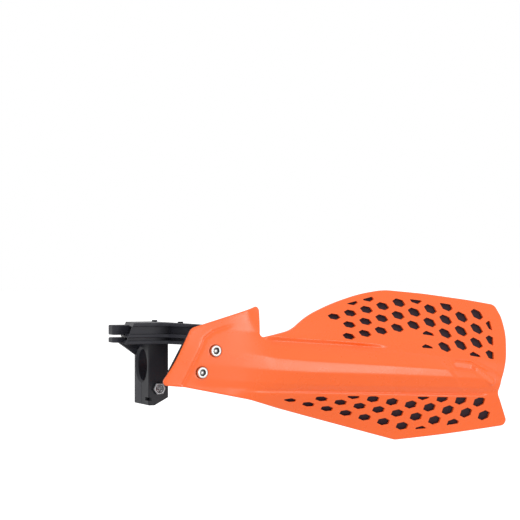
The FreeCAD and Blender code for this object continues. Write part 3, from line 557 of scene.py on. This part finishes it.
# stores the strength of the painted recess shade where the depth along the axis and the distance from it lie
# in the recess
def markRecess(piece, centre, lean, band, reach, strength):
    spots = np.empty(3 * len(piece.data.vertices))
    piece.data.vertices.foreach_get("co", spots)
    spots = spots.reshape(-1, 3) * 1000.0 - np.array(centre)
    out = -spots[:, 0] * math.sin(math.radians(lean)) - spots[:, 1] * math.cos(math.radians(lean))
    radius = np.sqrt(np.maximum((spots ** 2).sum(axis=1) - out ** 2, 0.0))
    inside = (out > band[0]) & (out < band[1]) & (radius > reach[0]) & (radius < reach[1])
    layer = piece.data.attributes.new("deep", "FLOAT", "POINT")
    layer.data.foreach_set("value", np.where(inside, strength, 0.0))


def plainShank(piece):  # profile of a shank with a chamfered end, up to the seat
    end, chamfer, radius = piece["end"], piece["endChamfer"], piece["shankRadius"]
    return [(end, 0.0, 0, 0), (end, radius - chamfer, 0, 0.05), (end + chamfer, radius, 0, 0.1)]


def makeScrew(name, x, z, standsFor):  # rounded head, chamfered hexagon socket with a drill cone, shank
    s = screw
    top, bottom = s["headTop"], s["headTop"] - s["socketDepth"]
    profile = softProfile(plainShank(s) + [
        (s["seat"], s["shankRadius"], 0, 0.1), (s["seat"], s["headRadius"], 0, s["seatRound"]),
        (top, s["headRadius"], 0, s["edgeRound"]),
        (top, s["socketRadius"] * 1.155 + s["socketChamfer"], 0, 0.12),
        (top - 2 * s["socketChamfer"], s["socketRadius"], 1, 0.08),
        (bottom, s["socketRadius"], 1, 0.1), (bottom - s["drillCone"], 0.0, 0, 0)])
    surface = turnedSurface(profile, s["steps"], s["socketTurn"])
    forward = shield["plateForward"] + math.tan(math.radians(shield["plateTurn"])) * x
    points = placed(surface, x, forward, z, -shield["plateTurn"]).reshape(-1, 3)
    faces = ringFaces(0, len(profile[0]), s["steps"])[:, ::-1]
    piece = layMesh(name, points, [faces], steel, standsFor)
    # painted shade darkens the socket and its chamfer
    band, reach = (bottom - 0.5, top - 0.3), (0.0, 1.2 * s["socketRadius"])
    markRecess(piece, (x, -forward, z), -shield["plateTurn"], band, reach, s["recessShadeStrength"])


def makeBolt(name, z, standsFor):  # hexagon head with a dished face and a cross pressed into the dish
    b = bolt
    top, floor = b["headHeight"], b["headHeight"] - b["dishDepth"]
    profile = softProfile(plainShank(b) + [
        (0.0, b["shankRadius"], 0, 0.1), (0.0, b["flat"], 1, 0.1),
        (top - b["headChamfer"][0], b["flat"], 1, 0.2),
        (top, b["flat"] - b["headChamfer"][1], 0.25, b["rimRound"]), (top, b["dishRadius"], 0, b["rimRound"]),
        (floor, b["dishRadius"] - b["dishSlope"], 0, 0.2),
        *[(floor, radius, 0, 0.0) for radius in b["dishRings"]], (floor, 0.0, 0, 0)])
    surface = turnedSurface(profile, b["steps"], b["turn"])
    across, up = np.abs(surface[..., 0]), np.abs(surface[..., 2])
    reach = np.hypot(across, up)
    inDish = (surface[..., 1] > floor - 0.2) & (reach < b["slotReach"])
    sideways, endways = b["slotSides"]
    slot = np.clip((b["slotHalf"] - np.minimum(across, up)) / sideways, 0.0, 1.0)
    slot = slot * np.clip((b["slotReach"] - reach) / endways, 0.0, 1.0)
    surface[..., 1] -= np.where(inDish, b["slotDepth"] * slot, 0.0)
    points = placed(surface, 0.0, clamp["depth"], z, 0.0).reshape(-1, 3)
    faces = ringFaces(0, len(profile[0]), b["steps"])[:, ::-1]
    piece = layMesh(name, points, [faces], boltSteel, standsFor)
    # painted shade darkens the dish and the pressed cross
    band, reach = (1.0, top - 0.25), (0.0, b["dishRadius"] + 0.05)
    markRecess(piece, (0.0, -clamp["depth"], z), 0.0, band, reach, b["recessShadeStrength"])


shieldPanel = makeShield()
print("shield made:", len(shieldPanel.data.polygons), "faces")

for place, (x, z) in zip(("upper", "lower"), shield["screws"]):
    makeScrew(place + "Screw", x, z, (place + "_shield_screw",))
makeBolt("upperBolt", clamp["upperBolt"], ("upper_clamp_bolt",))
makeBolt("lowerBolt", clamp["lowerBolt"], ("lower_clamp_bolt",))
print("fasteners made")

nodeMaterials = {
    "shield": orangeMould, "upper_vent_liner": linerMould, "lower_vent_liner": linerMould,
    "mounting_arm": blackMould, "clamp_cap": capPaintedShadeMould,
    "upper_clamp_bolt": boltSteel, "lower_clamp_bolt": boltSteel,
    "upper_clamp_nut": boltSteel, "lower_clamp_nut": boltSteel,
}
for name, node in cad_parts.items():
    node.data.materials.clear()
    node.data.materials.append(nodeMaterials.get(name, steel))


# camera place and floor in millimetres; lights in metres as power, size, place and aim
stage = {
    "cameraPlace": (-589.9, -1707.3, 95.0), "cameraTurn": -22.2,
    "lens": 137.35, "sensor": 36.0, "seeTo": 60.0,
    "floorHeight": -165.0, "floorHalf": 14000.0, "floorGlow": 0.52, "floorTone": 0.80, "skyStrength": 0.95,
    "lights": {
        "keyLight": (1.8, (1.4, 1.0), (-0.3, -0.9, 1.7), (0.15, -0.05, 0.0)),
        "stripLight": (6.4, (0.9, 0.36), (0.76, -1.95, -0.02), (0.16, -0.06, 0.0)),
        "sideLight": (1.2, (0.9, 0.9), (-1.6, -0.35, 0.3), (0.0, 0.0, 0.0)),
    },
}
white = (1.0, 1.0, 1.0, 1.0)


def makeFloor(scene):  # flat square that glows for the camera alone and takes light and shadow
    height, half = stage["floorHeight"] / 1000.0, stage["floorHalf"] / 1000.0
    corners = [(-half, -half, height), (half, -half, height), (half, half, height), (-half, half, height)]
    mesh = bpy.data.meshes.new("floor")
    mesh.from_pydata(corners, [], [(0, 1, 2, 3)])
    floor = bpy.data.objects.new("floor", mesh)
    scene.collection.objects.link(floor)
    material = bpy.data.materials.new("paleFloor")
    material.use_nodes = True
    tree = material.node_tree
    tree.nodes.clear()
    seen = addNode(tree, "ShaderNodeLightPath").outputs["Is Camera Ray"]
    strength = addNode(tree, "ShaderNodeMath", {0: seen, 1: stage["floorGlow"]}, operation="MULTIPLY")
    glow = addNode(tree, "ShaderNodeEmission", {"Color": white, "Strength": strength.outputs[0]})
    matt = addNode(tree, "ShaderNodeBsdfDiffuse", {"Color": (*[stage["floorTone"]] * 3, 1.0)})
    both = addNode(tree, "ShaderNodeAddShader", {0: glow.outputs[0], 1: matt.outputs[0]})
    addNode(tree, "ShaderNodeOutputMaterial", {"Surface": both.outputs[0]})
    mesh.materials.append(material)


def makeSky(scene):  # white to the camera, a little weaker as light
    world = bpy.data.worlds.new("studio")
    scene.world = world
    world.use_nodes = True
    tree = world.node_tree
    tree.nodes.clear()
    seen = addNode(tree, "ShaderNodeLightPath").outputs["Is Camera Ray"]
    strength = addNode(tree, "ShaderNodeMapRange", {
        "Value": seen, "To Min": stage["skyStrength"], "To Max": 1.0})
    sky = addNode(tree, "ShaderNodeBackground", {"Color": white, "Strength": strength.outputs["Result"]})
    addNode(tree, "ShaderNodeOutputWorld", {"Surface": sky.outputs[0]})


def makeStage():  # floor, sky, three soft lights and the camera
    scene = bpy.context.scene
    makeFloor(scene)
    makeSky(scene)
    for name, (power, size, place, aim) in stage["lights"].items():
        lamp = bpy.data.lights.new(name, "AREA")
        lamp.energy, lamp.shape = power, "RECTANGLE"
        lamp.size, lamp.size_y = size
        light = bpy.data.objects.new(name, lamp)
        light.location = place
        light.rotation_euler = (Vector(aim) - Vector(place)).to_track_quat("-Z", "Y").to_euler()
        scene.collection.objects.link(light)
    lens = bpy.data.cameras.new("photoCamera")
    lens.sensor_width, lens.lens, lens.clip_end = stage["sensor"], stage["lens"], stage["seeTo"]
    camera = bpy.data.objects.new("photoCamera", lens)
    camera.location = [value / 1000.0 for value in stage["cameraPlace"]]
    camera.rotation_euler = (math.radians(90.0), 0.0, math.radians(stage["cameraTurn"]))
    scene.collection.objects.link(camera)
    scene.camera = camera
    scene.view_settings.view_transform = "Standard"


makeStage()
print("stage made")
